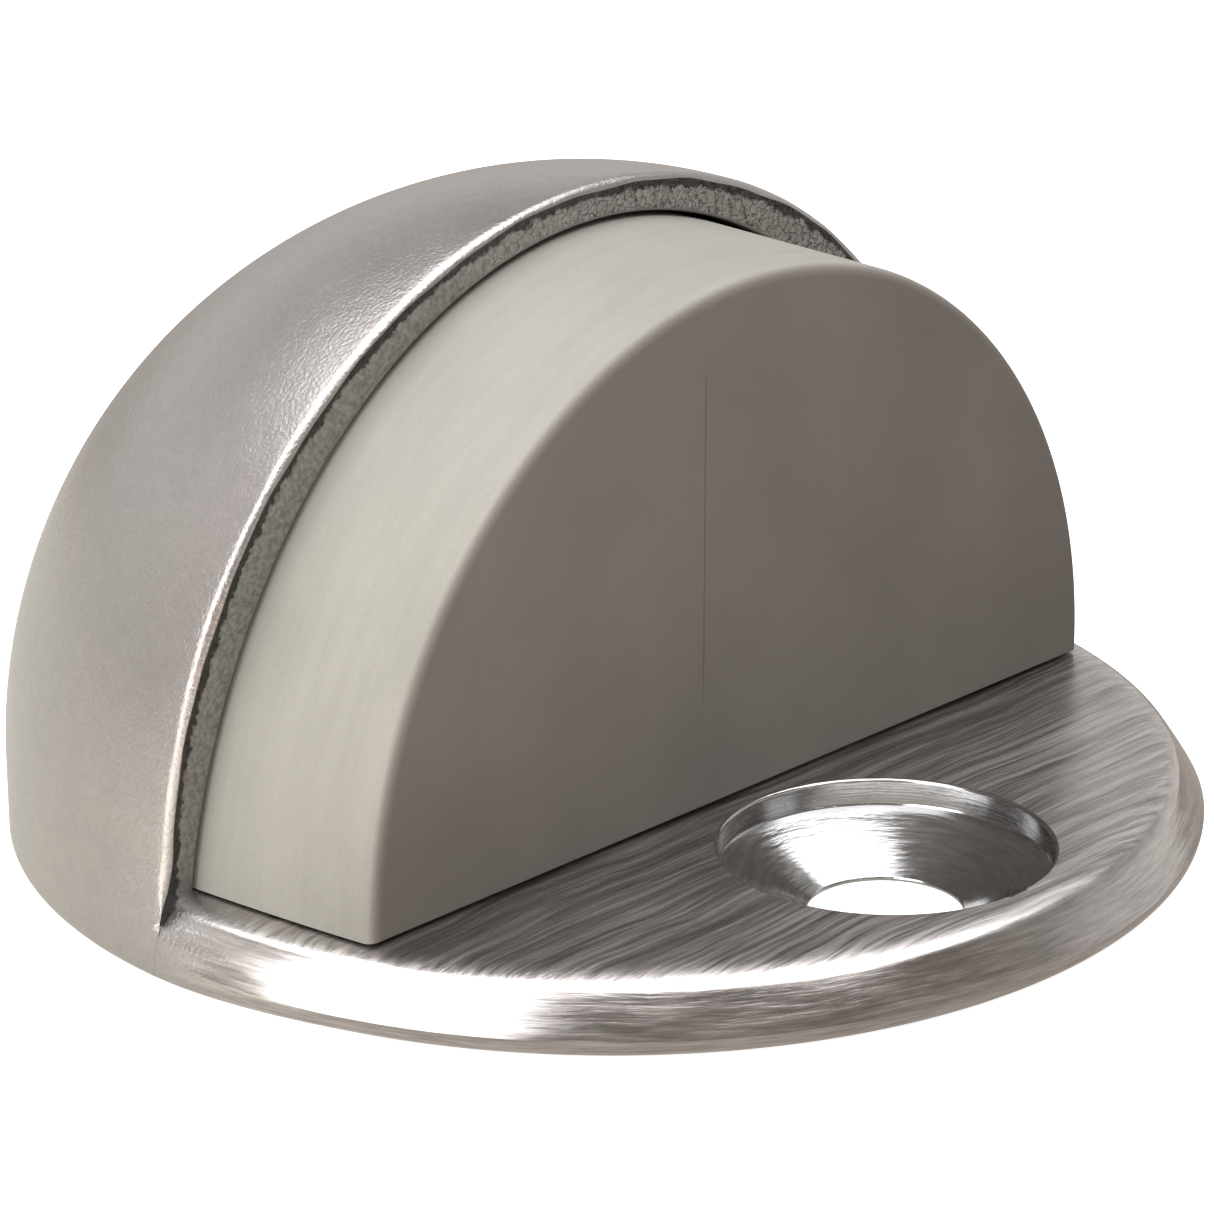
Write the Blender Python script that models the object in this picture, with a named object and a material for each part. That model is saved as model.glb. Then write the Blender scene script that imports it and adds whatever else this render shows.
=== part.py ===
"""Low dome floor door stop: cast hood and base, rubber bumper, moulded-in insert, retaining screw.

Millimetres below, metres in the file.  +Z is up from the floor, -Y is the side the door comes
from, X runs along the bumper face.  The origin is on the floor under the middle of the part.
"""
import math

import bmesh
import bpy

MM = 0.001

# ---- overall
BASE_R = 23.43          # widest ring of the base disc
BASE_Y = -0.22          # its centre
BASE_T = 2.8            # top of the flange above the floor
FLAT_R = 20.7           # where the flange top starts to roll over its edge
SHOULDER = (22.45, 2.3)     # (radius, height) where the rolled edge becomes the side
SIDE_BULGE = (23.2, 1.2)   # the convex side bends round this point
FOOT_ROUND = 0.8        # rounding of the edge that stands on the floor
HOOD_R = 22.6           # outside of the dome
HOOD_Y = 1.2            # dome centre, behind the middle of the base
HOOD_Z = 2.8            # height of the dome's widest ring
FOOT_R = 23.47          # widest ring of the hood, above its rounded foot,
FOOT_Y = -0.15          # and its centre
HOOD_FOOT = 0.3         # rounding of the hood where it stands on the floor
BLEND_Z = 3.8           # below this the dome flares out to the foot

# ---- open front of the hood
CUT_Y = 1.0             # plane of the rim
RIM_ROUND = 0.4         # outside edge of the rim
RIM_INNER_ROUND = 0.2
RIM_FADE = (2.1, 3.5)   # the rim's outside rounding fades in between these heights
POCKET_R = 21.5         # the pocket is part of a tall ellipsoid: its widest ring,
POCKET_Z = -0.9         # that ring's height, below the floor,
POCKET_TOP = 23.95      # and its crown

# ---- bumper
GAP = 0.3               # clearance between neighbours
FIT = GAP + 0.05        # and round the curved sides
FACE_Y = -7.45          # face the door meets
FACE_R = 20.2           # half the width of the face
FACE_Z = 3.55           # centre of its arch
FACE_TOP = 23.75
BACK_Y = 8.7
FACE_ROUND = 0.5
BACK_ROUND = 0.6

# ---- floor screw hole in the flange
HOLE_Y = -14.7
HOLE_TOP_R = 6.4
HOLE_EDGE = 0.14        # small rounding at the top of the hole
HOLE_LIP = 1.05         # straight wall above the countersink
HOLE_R = 3.0
HOLE_FLOOR = 0.12       # straight land under the countersink

# ---- bumper fastening
SCREW_Y = 1.0
HEAD_R = 2.75
SHANK_R = 1.45
INSERT_R = 2.7
INSERT_BORE = 1.78
INSERT_Z0 = 3.3
INSERT_Z1 = 8.8
CORE_Y = 10.6           # opening under the hood behind the bumper
CORE_R = 19.4

THROUGH = 0.6           # how far a cutting tool runs past the base
FOOT_STEPS = 4
ARCH_ROWS = 22
BACK_COLS = 44
DISC_SEGS = 96


def clean():
    for ob in list(bpy.data.objects):
        bpy.data.objects.remove(ob, do_unlink=True)


def material(name, colour, metallic, roughness):
    mat = bpy.data.materials.new(name)
    mat.use_nodes = True
    bsdf = mat.node_tree.nodes["Principled BSDF"]
    bsdf.inputs["Base Color"].default_value = (*colour, 1.0)
    bsdf.inputs["Metallic"].default_value = metallic
    bsdf.inputs["Roughness"].default_value = roughness
    return mat


def solid(name, verts, faces, mat=None):
    mesh = bpy.data.meshes.new(name)
    mesh.from_pydata([(x * MM, y * MM, z * MM) for x, y, z in verts], [], faces)
    bm = bmesh.new()
    bm.from_mesh(mesh)
    bmesh.ops.recalc_face_normals(bm, faces=bm.faces[:])
    bm.to_mesh(mesh)
    bm.free()
    mesh.update()
    ob = bpy.data.objects.new(name, mesh)
    bpy.context.scene.collection.objects.link(ob)
    if mat is not None:
        mesh.materials.append(mat)
    return ob


def turned(name, profile, centre, segs, mat=None):
    """Solid of revolution about a vertical axis.  The profile is a list of (r, z) from axis to axis."""
    verts, rings = [], []
    for r, z in profile:
        if r == 0:
            rings.append([len(verts)])
            verts.append((centre[0], centre[1], z))
        else:
            rings.append(list(range(len(verts), len(verts) + segs)))
            for k in range(segs):
                a = 2 * math.pi * k / segs
                verts.append((centre[0] + r * math.cos(a), centre[1] + r * math.sin(a), z))
    faces = []
    for a, b in zip(rings, rings[1:]):
        for k in range(segs):
            n = (k + 1) % segs
            quad = [a[k % len(a)], a[n % len(a)], b[n % len(b)], b[k % len(b)]]
            quad = [v for i, v in enumerate(quad) if v not in quad[:i]]
            if len(quad) > 2:
                faces.append(quad)
    return solid(name, verts, faces, mat)


def tube(name, outer, inner, centre, segs, mat=None):
    """Ring solid of revolution from a closed (r, z) outline that stays off the axis."""
    profile = outer + inner
    verts, faces, n = [], [], len(profile)
    for r, z in profile:
        for k in range(segs):
            a = 2 * math.pi * k / segs
            verts.append((centre[0] + r * math.cos(a), centre[1] + r * math.sin(a), z))
    for i in range(n):
        j = (i + 1) % n
        for k in range(segs):
            m = (k + 1) % segs
            faces.append([i * segs + k, i * segs + m, j * segs + m, j * segs + k])
    return solid(name, verts, faces, mat)


def boolean(target, tool, kind):
    tool.hide_render = True
    tool.display_type = "WIRE"
    mod = target.modifiers.new(kind.title() + " " + tool.name, "BOOLEAN")
    mod.operation = kind
    mod.solver = "EXACT"
    mod.object = tool


def smooth(ob, degrees):
    for poly in ob.data.polygons:
        poly.use_smooth = True
    ob.data.set_sharp_from_angle(angle=math.radians(degrees))


# ---------------------------------------------------------------- hood

def foot_round(radius):
    """Inset and height of points round the floor edge, from the floor upward."""
    out = []
    for k in range(FOOT_STEPS + 1):
        a = math.pi / 2 * (1 - k / FOOT_STEPS)
        out.append((radius * (1 - math.cos(a)), radius * (1 - math.sin(a))))
    return out


def hood_ring(z):
    """Centre (y) and radius of the hood's outside at a height."""
    rise = max(z - HOOD_Z, 0.0)
    radius = math.sqrt(max(HOOD_R ** 2 - rise ** 2, 0.0))
    w = min(max(BLEND_Z - z, 0.0) / (BLEND_Z - HOOD_FOOT), 1.0) ** 1.2
    below = min(max(1.0 - z / HOOD_FOOT, 0.0), 1.0)
    inset = HOOD_FOOT * (1.0 - math.sqrt(1.0 - below ** 2))
    return blend(HOOD_Y, FOOT_Y, w), blend(radius, FOOT_R, w) - inset


def pocket_ring(z):
    share = (z - POCKET_Z) / (POCKET_TOP - POCKET_Z)
    return HOOD_Y, POCKET_R * math.sqrt(max(1.0 - share ** 2, 0.0))


def half_shell(ring, plane_y, heights):
    """Rows of points from the left cut edge round the back to the right cut edge."""
    rows = []
    for z in heights:
        cy, r = ring(z)
        lean = math.asin(max(-1.0, min(1.0, (plane_y - cy) / r)))
        row = []
        for j in range(BACK_COLS + 1):
            a = lean + (math.pi - 2 * lean) * j / BACK_COLS
            row.append((-r * math.cos(a), cy + r * math.sin(a), z))
        rows.append(row)
    return rows


def arch_heights(foot, top, skirt):
    return skirt + [foot + (top - foot) * math.sin(math.pi / 2 * i / ARCH_ROWS)
                    for i in range(1, ARCH_ROWS)]


def arch_normals(points):
    """In-plane outward normals of the left half of an arch given as (x, z) from foot to top."""
    out = []
    for i, (x, z) in enumerate(points):
        a = points[max(i - 1, 0)]
        b = points[min(i + 1, len(points) - 1)]
        dx, dz = b[0] - a[0], b[1] - a[1]
        length = math.hypot(dx, dz)
        out.append((-dz / length, dx / length))
    for i, (x, z) in enumerate(points):
        if z <= HOOD_Z:
            out[i] = (-1.0, 0.0)
    out[-1] = (0.0, 1.0)
    return out


def build_hood():
    y_out = CUT_Y + RIM_ROUND
    y_in = CUT_Y + RIM_INNER_ROUND
    skirt = [z for inset, z in foot_round(HOOD_FOOT)] + [0.8, 1.3, 1.8, 2.3, HOOD_Z]
    crown_out = HOOD_Z + math.sqrt(HOOD_R ** 2 - (y_out - HOOD_Y) ** 2)
    off_centre = (y_in - HOOD_Y) / POCKET_R
    crown_in = POCKET_Z + (POCKET_TOP - POCKET_Z) * math.sqrt(1.0 - off_centre ** 2)
    outer = half_shell(hood_ring, y_out, arch_heights(HOOD_Z, crown_out, skirt))
    inner = half_shell(pocket_ring, y_in, arch_heights(HOOD_Z, crown_in, skirt))
    top_out = (0.0, y_out, crown_out)
    top_in = (0.0, y_in, crown_in)

    verts, faces = [], []

    def put(p):
        verts.append(p)
        return len(verts) - 1

    o = [[put(p) for p in row] for row in outer]
    n = [[put(p) for p in row] for row in inner]
    o_top, n_top = put(top_out), put(top_in)
    for grid, top in ((o, o_top), (n, n_top)):
        for a, b in zip(grid, grid[1:]):
            for j in range(BACK_COLS):
                faces.append([a[j], a[j + 1], b[j + 1], b[j]])
        for j in range(BACK_COLS):
            faces.append([grid[-1][j], grid[-1][j + 1], top])

    # rim: rings from the outer edge over its rounding, across the flat and into the pocket
    left_o = [(row[0][0], row[0][2]) for row in outer] + [(0.0, top_out[2])]
    left_n = [(row[0][0], row[0][2]) for row in inner] + [(0.0, top_in[2])]
    norm_o, norm_n = arch_normals(left_o), arch_normals(left_n)
    steps = []
    for k in range(1, 5):
        a = math.pi / 2 * k / 4
        steps.append((left_o, norm_o, -RIM_ROUND * (1 - math.cos(a)), RIM_ROUND * (1 - math.sin(a))))
    for k in range(3, 0, -1):
        a = math.pi / 2 * k / 3
        steps.append((left_n, norm_n, RIM_INNER_ROUND * (1 - math.cos(a)),
                      RIM_INNER_ROUND * (1 - math.sin(a))))
    count = len(left_o)
    rings = []
    for pts, nor, push, back in steps:
        left = []
        for (x, z), (nx, nz) in zip(pts, nor):
            fade = min(max((z - RIM_FADE[0]) / (RIM_FADE[1] - RIM_FADE[0]), 0.0), 1.0)
            left.append((x + nx * push * fade, CUT_Y + back * fade, z + nz * push * fade))
        rings.append([put(p) for p in left] + [put((-x, y, z)) for x, y, z in left[-2::-1]])
    ring_o = [row[0] for row in o] + [o_top] + [row[-1] for row in o[::-1]]
    ring_n = [row[0] for row in n] + [n_top] + [row[-1] for row in n[::-1]]
    rings = [ring_o] + rings + [ring_n]
    for a, b in zip(rings, rings[1:]):
        for j in range(2 * count - 2):
            faces.append([a[j], a[j + 1], b[j + 1], b[j]])

    # underside of the wall
    for j in range(BACK_COLS):
        faces.append([o[0][j], o[0][j + 1], n[0][j + 1], n[0][j]])
    faces.append([ring[0] for ring in rings])
    faces.append([ring[-1] for ring in rings])
    return solid("Cast_hood_and_base", verts, faces)


# ---------------------------------------------------------------- base

def bend(start, corner, end, steps):
    """Points on a smooth bend that leaves start and reaches end pointing at the corner."""
    out = []
    for k in range(steps + 1):
        t = k / steps
        out.append(tuple((1 - t) ** 2 * a + 2 * t * (1 - t) * b + t * t * c
                         for a, b, c in zip(start, corner, end)))
    return out


def build_base():
    """Base disc: a convex side and a rolled edge in front, behind it ends inside the hood wall."""
    slope = (SIDE_BULGE[1] - SHOULDER[1]) / (SIDE_BULGE[0] - SHOULDER[0])
    roll = (SHOULDER[0] + (BASE_T - SHOULDER[1]) / slope, BASE_T)
    edge = [(BASE_R - inset, z) for inset, z in foot_round(FOOT_ROUND)]
    edge += bend((BASE_R, FOOT_ROUND), SIDE_BULGE, SHOULDER, 4)[1:]
    edge += bend(SHOULDER, roll, (FLAT_R, BASE_T), 4)[1:]
    inside = (POCKET_R + HOOD_R) / 2
    verts, rings = [], []
    for r, z in edge:
        ring = []
        for k in range(DISC_SEGS):
            a = 2 * math.pi * (k + 0.5) / DISC_SEGS
            ring.append(len(verts))
            if BASE_R * math.sin(a) < CUT_Y + 1.3:
                verts.append((r * math.cos(a), BASE_Y + r * math.sin(a), z))
            else:
                verts.append((inside * math.cos(a), HOOD_Y + inside * math.sin(a), z))
        rings.append(ring)
    faces = [rings[0][::-1], rings[-1][:]]
    for a, b in zip(rings, rings[1:]):
        for k in range(DISC_SEGS):
            n = (k + 1) % DISC_SEGS
            faces.append([a[k], a[n], b[n], b[k]])
    return solid("Base_disc", verts, faces)


def hole_tool():
    t, r, e = BASE_T, HOLE_TOP_R, HOLE_EDGE
    profile = [(0, t + THROUGH), (r + e, t + THROUGH), (r + e, t), (r + 0.3 * e, t - 0.3 * e),
               (r, t - e), (r, t - HOLE_LIP), (HOLE_R, HOLE_FLOOR), (HOLE_R, -THROUGH),
               (0, -THROUGH)]
    return turned("Floor_screw_hole_tool", profile, (0, HOLE_Y), 64)


def countersink_tool():
    head, shank = HEAD_R + 0.36, SHANK_R + 0.35
    profile = [(0, -THROUGH), (head, -THROUGH), (head, 0.5), (shank, 0.5 + head - shank),
               (shank, BASE_T + THROUGH), (0, BASE_T + THROUGH)]
    return turned("Bumper_screw_hole_tool", profile, (0, SCREW_Y), 40)


def core_tool():
    """D-shaped opening in the floor of the hood behind the bumper."""
    cy = HOOD_Y
    a0 = math.asin((CORE_Y - cy) / CORE_R)
    outline = []
    for k in range(29):
        a = a0 + (math.pi - 2 * a0) * k / 28
        outline.append((CORE_R * math.cos(a), cy + CORE_R * math.sin(a)))
    n = len(outline)
    verts = [(x, y, -THROUGH) for x, y in outline]
    verts += [(x, y, BASE_T + THROUGH) for x, y in outline]
    faces = [list(range(n))[::-1], list(range(n, 2 * n))]
    for k in range(n):
        m = (k + 1) % n
        faces.append([k, m, n + m, n + k])
    return solid("Core_opening_tool", verts, faces)


# ---------------------------------------------------------------- bumper

def blend(a, b, share):
    return a + (b - a) * share


def side_section(y):
    """Half width, rise and centre height of the bumper's arch between its face and the rim."""
    share = (y - FACE_Y) / (CUT_Y - FACE_Y)
    return (blend(FACE_R, POCKET_R - FIT, share),
            blend(FACE_TOP - FACE_Z, POCKET_TOP - FIT - POCKET_Z, share),
            blend(FACE_Z, POCKET_Z, share))


def pocket_section(y):
    """The same inside the hood, where the bumper follows the pocket."""
    full = POCKET_R - FIT
    half = math.sqrt(full ** 2 - (y - HOOD_Y) ** 2)
    return half, (POCKET_TOP - FIT - POCKET_Z) * half / full, POCKET_Z


def bumper_sections():
    """(y, half width, rise, centre height, underside) from the face to the back."""
    floor = BASE_T + GAP
    rows = []
    for k in range(6):
        a = math.pi / 2 * (1 - k / 5)
        inset = FACE_ROUND * (1 - math.cos(a))
        y = FACE_Y + FACE_ROUND * (1 - math.sin(a))
        half, rise, zc = side_section(y)
        rows.append((y, half - inset, rise - inset, zc, floor + 0.35 * inset))
    for k in range(1, 6):
        y = blend(FACE_Y + FACE_ROUND, CUT_Y, k / 5)
        rows.append((y, *side_section(y), floor))
    for k in range(1, 7):
        y = blend(CUT_Y, BACK_Y - BACK_ROUND, k / 6)
        rows.append((y, *pocket_section(y), floor))
    for k in range(1, 4):
        a = math.pi / 2 * k / 3
        inset = BACK_ROUND * (1 - math.cos(a))
        y = BACK_Y - BACK_ROUND * (1 - math.sin(a))
        half, rise, zc = pocket_section(y)
        rows.append((y, half - inset, rise - inset, zc, floor))
    return rows


def build_bumper(mat):
    steps = 48
    verts, rings = [], []
    for y, half, rise, zc, zb in bumper_sections():
        a0 = math.asin((zb - zc) / rise)
        ring = []
        for k in range(steps + 1):
            a = math.pi - a0 - (math.pi - 2 * a0) * k / steps
            ring.append(len(verts))
            verts.append((half * math.cos(a), y, zc + rise * math.sin(a)))
        rings.append(ring)
    faces = [rings[0][:], rings[-1][::-1]]
    n = steps + 1
    for a, b in zip(rings, rings[1:]):
        for k in range(n):
            m = (k + 1) % n
            faces.append([a[k], a[m], b[m], b[k]])
    return solid("Rubber_bumper", verts, faces, mat)


def insert_pocket_tool():
    z0, z1, g = INSERT_Z0, INSERT_Z1, GAP
    profile = [(0, z0 - 1.2), (INSERT_R + g, z0 - 1.2), (INSERT_R + g, z0 + 1.6 + g),
               (INSERT_R - 0.5 + g, z0 + 1.9 + g), (INSERT_R - 0.5 + g, z1 - 1.9 - g),
               (INSERT_R + g, z1 - 1.6 - g), (INSERT_R + g, z1 + g), (0, z1 + g)]
    return turned("Insert_pocket_tool", profile, (0, SCREW_Y), 40)


# ---------------------------------------------------------------- fastening

def build_insert(mat):
    z0, z1 = INSERT_Z0, INSERT_Z1
    outer = [(INSERT_R - 0.25, z0), (INSERT_R, z0 + 0.25), (INSERT_R, z0 + 1.6),
             (INSERT_R - 0.5, z0 + 1.9), (INSERT_R - 0.5, z1 - 1.9), (INSERT_R, z1 - 1.6),
             (INSERT_R, z1 - 0.25), (INSERT_R - 0.25, z1)]
    inner = [(INSERT_BORE, z1), (INSERT_BORE, z0)]
    return tube("Moulded_in_insert", outer, inner, (0, SCREW_Y), 40, mat)


def build_screw(mat):
    tip = INSERT_Z1 - 0.5
    profile = [(0, 0.2), (HEAD_R - 0.15, 0.2), (HEAD_R, 0.3), (HEAD_R, 0.42),
               (SHANK_R, 0.42 + HEAD_R - SHANK_R), (SHANK_R, tip - 0.4), (SHANK_R - 0.4, tip),
               (0, tip)]
    return turned("Bumper_retaining_screw", profile, (0, SCREW_Y), 40, mat)


def drive_tool(name, turn):
    """One arm of the cross recess, tapering upward into the head."""
    verts = []
    for z, half, thick in ((-0.2, 1.45, 0.34), (1.25, 0.75, 0.22)):
        for sx, sy in ((-1, -1), (1, -1), (1, 1), (-1, 1)):
            x, y = sx * half, sy * thick
            verts.append((x * math.cos(turn) - y * math.sin(turn),
                          SCREW_Y + x * math.sin(turn) + y * math.cos(turn), z))
    faces = [[3, 2, 1, 0], [4, 5, 6, 7]] + [[k, (k + 1) % 4, 4 + (k + 1) % 4, 4 + k]
                                            for k in range(4)]
    return solid(name, verts, faces)


def main():
    clean()
    nickel = material("Satin_nickel", (0.56, 0.53, 0.50), 1.0, 0.32)
    rubber = material("Grey_rubber", (0.52, 0.50, 0.45), 0.0, 0.75)
    brass = material("Insert_brass", (0.72, 0.55, 0.30), 1.0, 0.35)
    zinc = material("Zinc_steel", (0.62, 0.63, 0.64), 1.0, 0.38)

    hood = build_hood()
    hood.data.materials.append(nickel)
    base = build_base()
    base.data.materials.append(nickel)
    for tool in (core_tool(), hole_tool(), countersink_tool()):
        boolean(base, tool, "DIFFERENCE")
    boolean(hood, base, "UNION")

    bumper = build_bumper(rubber)
    boolean(bumper, insert_pocket_tool(), "DIFFERENCE")

    build_insert(brass)
    screw = build_screw(zinc)
    for k, turn in enumerate((math.pi / 4, 3 * math.pi / 4)):
        boolean(screw, drive_tool("Drive_tool_%d" % (k + 1), turn), "DIFFERENCE")

    for ob in bpy.data.objects:
        if ob.type == "MESH" and not ob.hide_render:
            smooth(ob, 32)


main()
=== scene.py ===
"""Looks for the low dome door stop: brushed nickel casting, grey rubber bumper, white studio."""
import math

import bmesh
import bpy
from mathutils import Matrix, Vector

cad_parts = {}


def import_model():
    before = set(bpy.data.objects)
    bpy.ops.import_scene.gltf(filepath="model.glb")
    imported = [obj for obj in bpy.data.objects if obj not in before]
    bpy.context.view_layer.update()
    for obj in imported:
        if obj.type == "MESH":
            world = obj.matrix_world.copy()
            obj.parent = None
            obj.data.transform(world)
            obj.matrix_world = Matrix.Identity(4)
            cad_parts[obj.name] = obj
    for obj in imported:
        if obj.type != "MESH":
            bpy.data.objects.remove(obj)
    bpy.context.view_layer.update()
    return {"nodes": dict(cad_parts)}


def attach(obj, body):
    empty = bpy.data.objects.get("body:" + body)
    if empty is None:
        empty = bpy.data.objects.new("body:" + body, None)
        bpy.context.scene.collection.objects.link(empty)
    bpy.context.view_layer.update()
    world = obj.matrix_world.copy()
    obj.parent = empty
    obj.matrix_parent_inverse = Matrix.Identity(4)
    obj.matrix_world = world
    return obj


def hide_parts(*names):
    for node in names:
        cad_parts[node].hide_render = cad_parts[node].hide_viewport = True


MM = 0.001

# ---- shape in millimetres, as in the part except that the base's and the hood foot's radii are
# a few hundredths smaller and BLEND_Z is higher (4.45, there 3.8), to stay inside the CAD's box
BASE_R, BASE_Y, BASE_T = 23.40, -0.22, 2.8
FLAT_R = 20.7
SHOULDER = (22.45, 2.3)
SIDE_BULGE = (23.2, 1.2)
FOOT_ROUND = 0.8
HOOD_R, HOOD_Y, HOOD_Z = 22.6, 1.2, 2.8
FOOT_R, FOOT_Y, HOOD_FOOT, BLEND_Z = 23.43, -0.15, 0.3, 4.45
CUT_Y = 1.0
RIM_ROUND, RIM_INNER_ROUND, RIM_FADE = 0.4, 0.2, (2.1, 3.5)
POCKET_R, POCKET_Z, POCKET_TOP = 21.5, -0.9, 23.95
FACE_Y, FACE_R, FACE_Z, FACE_TOP = -7.45, 20.2, 3.55, 23.75
BACK_Y, FACE_ROUND, BACK_ROUND = 8.7, 0.5, 0.6
HOLE_Y, HOLE_TOP_R, HOLE_EDGE, HOLE_LIP, HOLE_R, HOLE_FLOOR = -14.7, 6.4, 0.14, 1.05, 3.0, 0.12
SCREW_Y, HEAD_R, SHANK_R = 1.0, 2.75, 1.45
INSERT_POCKET_R, INSERT_POCKET_WAIST_R, INSERT_POCKET_TOP = 3.0, 2.5, 9.1
CORE_Y, CORE_R = 10.6, 19.4
WALL_MID_R = (POCKET_R + HOOD_R) / 2

# ---- how finely the visible surfaces are built
ARC_STEPS = 168
BACK_STEPS = 96
RIM_STEPS = 8
DISC_SEGS = 384
HOLE_SEGS = 256
BUMPER_STEPS = 176
UNDER_STEPS = 24

# ---- small things the part doesn't have
SOLE_INSET = 0.4        # how far the sole starts inside the base's foot
FOOT_BLEND = 9.0        # the flange's side turns into the hood's foot over this length,
FOOT_UNDERLAP = 0.006   # ends up this far inside the hood's surface,
FOOT_OVERRUN = 0.8      # stays there for this far behind the rim
FOOT_DIVE = 2.5         # and then runs into the wall over this length
RIM_WAVE = 0.05         # unevenness of the fettled rim edge
SINK_SLACK = 0.36       # room around the screw head in the base
SHANK_SLACK = 0.35      # and around its shank
BUMPER_SEAT = 0.10      # the rubber rests on the flange with this hairline under it
BUMPER_GAP = 0.2        # and stands this far off the rim
MOULD_LINE_X = -2.4     # faint parting line on the bumper's face

# ---- lights: softboxes as direction, distance and size in metres, and brightness in a mirror
LEFT_BOX = ((-1.0, 0.0, 0.45), 0.60, (0.50, 0.56), 2.8)
OVERHEAD_BOX = ((-0.03, -0.04, 1.0), 0.70, (1.14, 1.08), 2.9)
FLOOR_FRONT, FLOOR_BACK, FLOOR_LEFT = 0.40, 0.95, 2.4     # light bounced off the floor
BOUNCE_DROP = 0.01      # the sheet that gives it lies this far under the visible floor
FLOOR_HALF = 3000.0     # both sheets reach this far from the middle
FLOOR_STEPS = 12

# ---- camera
CAM_AZ, CAM_EL, CAM_ROLL = -46.88, 21.49, 0.20
CAM_LENS, CAM_DIST = 206.6, 271.2
CAM_AIM = (0.0, -0.15, 8.53)


def smoothstep(t):
    t = min(max(t, 0.0), 1.0)
    return t * t * (3.0 - 2.0 * t)


def mix(a, b, share):
    return a + (b - a) * share


def bend(start, corner, end, steps):
    """Points on a bend that leaves start and reaches end pointing at the corner."""
    out = []
    for k in range(steps + 1):
        t = k / steps
        out.append(tuple((1 - t) ** 2 * a + 2 * t * (1 - t) * b + t * t * c
                         for a, b, c in zip(start, corner, end)))
    return out


def foot_round(radius, steps):
    out = []
    for k in range(steps + 1):
        a = math.pi / 2 * (1 - k / steps)
        out.append((radius * (1 - math.cos(a)), radius * (1 - math.sin(a))))
    return out


def hood_ring(z):
    """Centre (y) and radius of the hood's outside at a height."""
    rise = max(z - HOOD_Z, 0.0)
    radius = math.sqrt(max(HOOD_R ** 2 - rise ** 2, 0.0))
    w = min(max(BLEND_Z - z, 0.0) / (BLEND_Z - HOOD_FOOT), 1.0) ** 1.2
    below = min(max(1.0 - z / HOOD_FOOT, 0.0), 1.0)
    inset = HOOD_FOOT * (1.0 - math.sqrt(1.0 - below ** 2))
    return mix(HOOD_Y, FOOT_Y, w), mix(radius, FOOT_R, w) - inset


def pocket_radius(z):
    share = (z - POCKET_Z) / (POCKET_TOP - POCKET_Z)
    return POCKET_R * math.sqrt(max(1.0 - share ** 2, 0.0))


class Builder:
    """Collects points and faces in millimetres and makes one mesh object of them."""

    def __init__(self):
        self.verts, self.faces = [], []

    def put(self, p):
        self.verts.append((p[0] * MM, p[1] * MM, p[2] * MM))
        return len(self.verts) - 1

    def row(self, points):
        return [self.put(p) for p in points]

    def strip(self, a, b, closed=False):
        n = len(a)
        for k in range(n if closed else n - 1):
            m = (k + 1) % n
            self.faces.append([a[k], a[m], b[m], b[k]])

    def make(self, name):
        mesh = bpy.data.meshes.new(name)
        mesh.from_pydata(self.verts, [], self.faces)
        bm = bmesh.new()
        bm.from_mesh(mesh)
        bmesh.ops.remove_doubles(bm, verts=bm.verts[:], dist=2e-7)
        bmesh.ops.dissolve_degenerate(bm, edges=bm.edges[:], dist=1e-7)
        bmesh.ops.recalc_face_normals(bm, faces=bm.faces[:])
        bm.to_mesh(mesh)
        bm.free()
        ob = bpy.data.objects.new(name, mesh)
        bpy.context.scene.collection.objects.link(ob)
        return ob


def turned(name, profile, centre, segs):
    """Closed solid of revolution from (r, z) points that start and end on the axis."""
    build = Builder()
    rings = []
    for r, z in profile:
        rings.append(build.row([(centre[0] + r * math.cos(2 * math.pi * k / segs),
                                 centre[1] + r * math.sin(2 * math.pi * k / segs), z)
                                for k in range(segs)]))
    for a, b in zip(rings, rings[1:]):
        build.strip(a, b, closed=True)
    return build.make(name)


# ---------------------------------------------------------------- casting

SKIRT = ([z for inset, z in foot_round(HOOD_FOOT, 7)]
         + [0.42, 0.55, 0.7, 0.85, 1.0, 1.25, 1.5, 1.75, 2.0, 2.2, 2.4, 2.6])


def arc_angles():
    return [math.pi * k / ARC_STEPS for k in range(ARC_STEPS + 1)]


def hood_outside(plane_y, share):
    """One arch of the hood from its left foot over the top to its right foot."""
    lean = math.asin((plane_y - HOOD_Y) / HOOD_R)
    beta = lean + (math.pi / 2 - lean) * share

    def on_ring(z, part):
        cy, r = hood_ring(z)
        start = math.asin((plane_y - cy) / r)
        a = start + (math.pi / 2 - start) * part
        return r * math.cos(a), cy + r * math.sin(a)

    left = []
    for z in SKIRT:
        x, y = on_ring(z, share)
        left.append((-x, y, z))
    points = list(left)
    radius = HOOD_R * math.cos(beta)
    for th in arc_angles():
        x, y = -radius * math.cos(th), HOOD_Y + HOOD_R * math.sin(beta)
        z = HOOD_Z + radius * math.sin(th)
        if z < BLEND_Z:
            r0 = math.sqrt(HOOD_R ** 2 - (z - HOOD_Z) ** 2)
            start = math.asin((plane_y - HOOD_Y) / r0)
            at = math.asin(min((y - HOOD_Y) / r0, 1.0))
            part = (at - start) / (math.pi / 2 - start)
            half, y = on_ring(z, part)
            x = math.copysign(half, x)
        points.append((x, y, z))
    return points + [(-x, y, z) for x, y, z in left[::-1]]


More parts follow.
